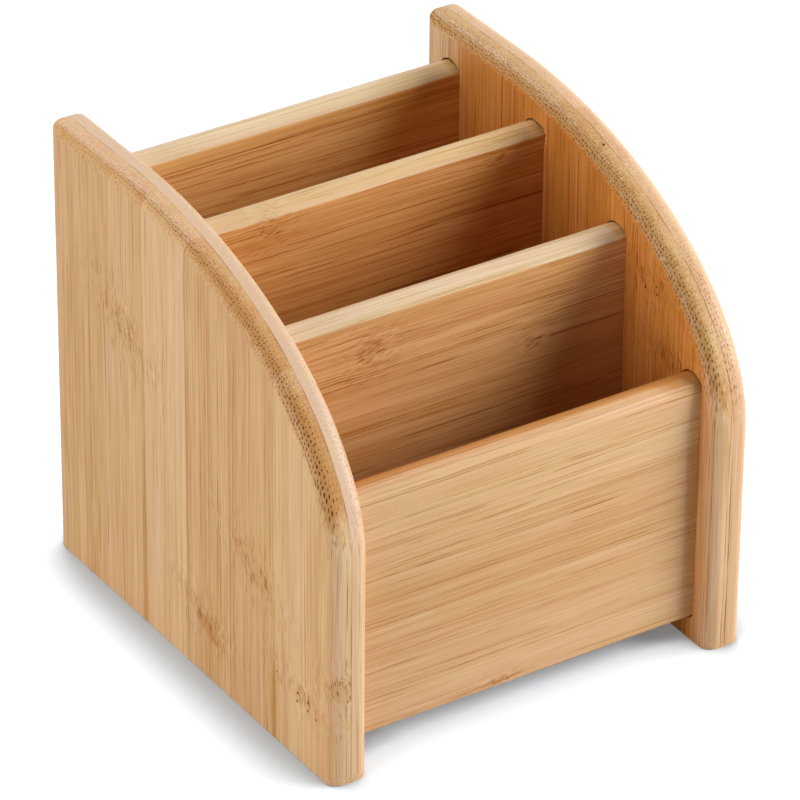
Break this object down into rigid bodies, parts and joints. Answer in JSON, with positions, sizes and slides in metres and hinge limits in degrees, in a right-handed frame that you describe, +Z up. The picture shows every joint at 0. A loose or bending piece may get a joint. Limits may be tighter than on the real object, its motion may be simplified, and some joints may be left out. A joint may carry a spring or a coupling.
{
  "type": "desk organizer",
  "caption": "Open-topped bamboo desk caddy with curved sides and stepped upright compartments for remotes, pens, phones or post.",
  "frame": {"origin": "on the surface it stands on, at the middle of the footprint", "axes": "+X to the right as seen from the low front, +Y from the low front to the tall back, +Z up"},
  "size_m": [0.14, 0.151, 0.142],
  "materials": {
    "side_outer": "sanded bamboo, clear matt finish",
    "side_inner": "sanded bamboo, clear matt finish",
    "cross_panel": "sanded bamboo, clear matt finish",
    "floor": "sanded bamboo, clear matt finish"
  },
  "bodies": {
    "root": {"back_panel": "cross_panel", "floor_panel": "floor", "front_divider": "cross_panel", "front_panel": "cross_panel", "left_side_inner_ply": "side_inner", "left_side_outer_ply": "side_outer", "rear_divider": "cross_panel", "right_side_inner_ply": "side_inner", "right_side_outer_ply": "side_outer"}
  },
  "joints": []
}
